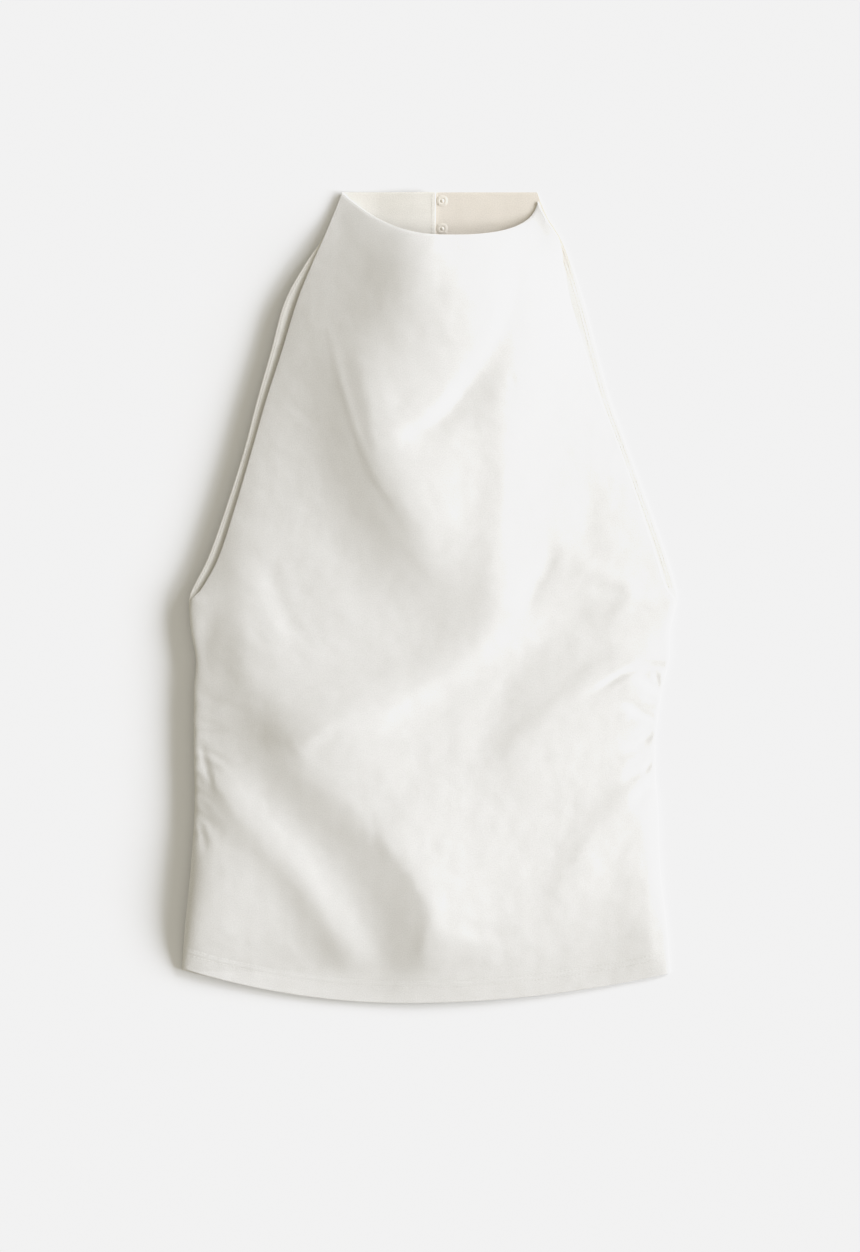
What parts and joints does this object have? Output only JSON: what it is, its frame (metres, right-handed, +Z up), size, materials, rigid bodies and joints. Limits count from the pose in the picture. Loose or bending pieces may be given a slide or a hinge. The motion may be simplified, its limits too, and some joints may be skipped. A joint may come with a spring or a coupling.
{
  "type": "halter neck top",
  "caption": "Sleeveless halter neck top in white jersey, laid flat, with gathered side seams and a press stud opening at the back of the neck.",
  "frame": {"origin": "on the table, under the middle of the garment's box", "axes": "+X across the top to the right of the picture, +Y from the hem to the neck, +Z up off the table through back and front"},
  "size_m": [0.3875, 0.6342, 0.0231],
  "materials": {
    "jersey": "matt off-white cotton jersey with a fine even knit",
    "stud": "milky clear plastic, slightly glossy"
  },
  "bodies": {
    "root": {"front_panel": "jersey", "back_left_panel": "jersey", "back_right_panel": "jersey", "stud_upper_socket": "stud", "stud_upper_ball": "stud", "stud_lower_socket": "stud", "stud_lower_ball": "stud"}
  },
  "joints": []
}
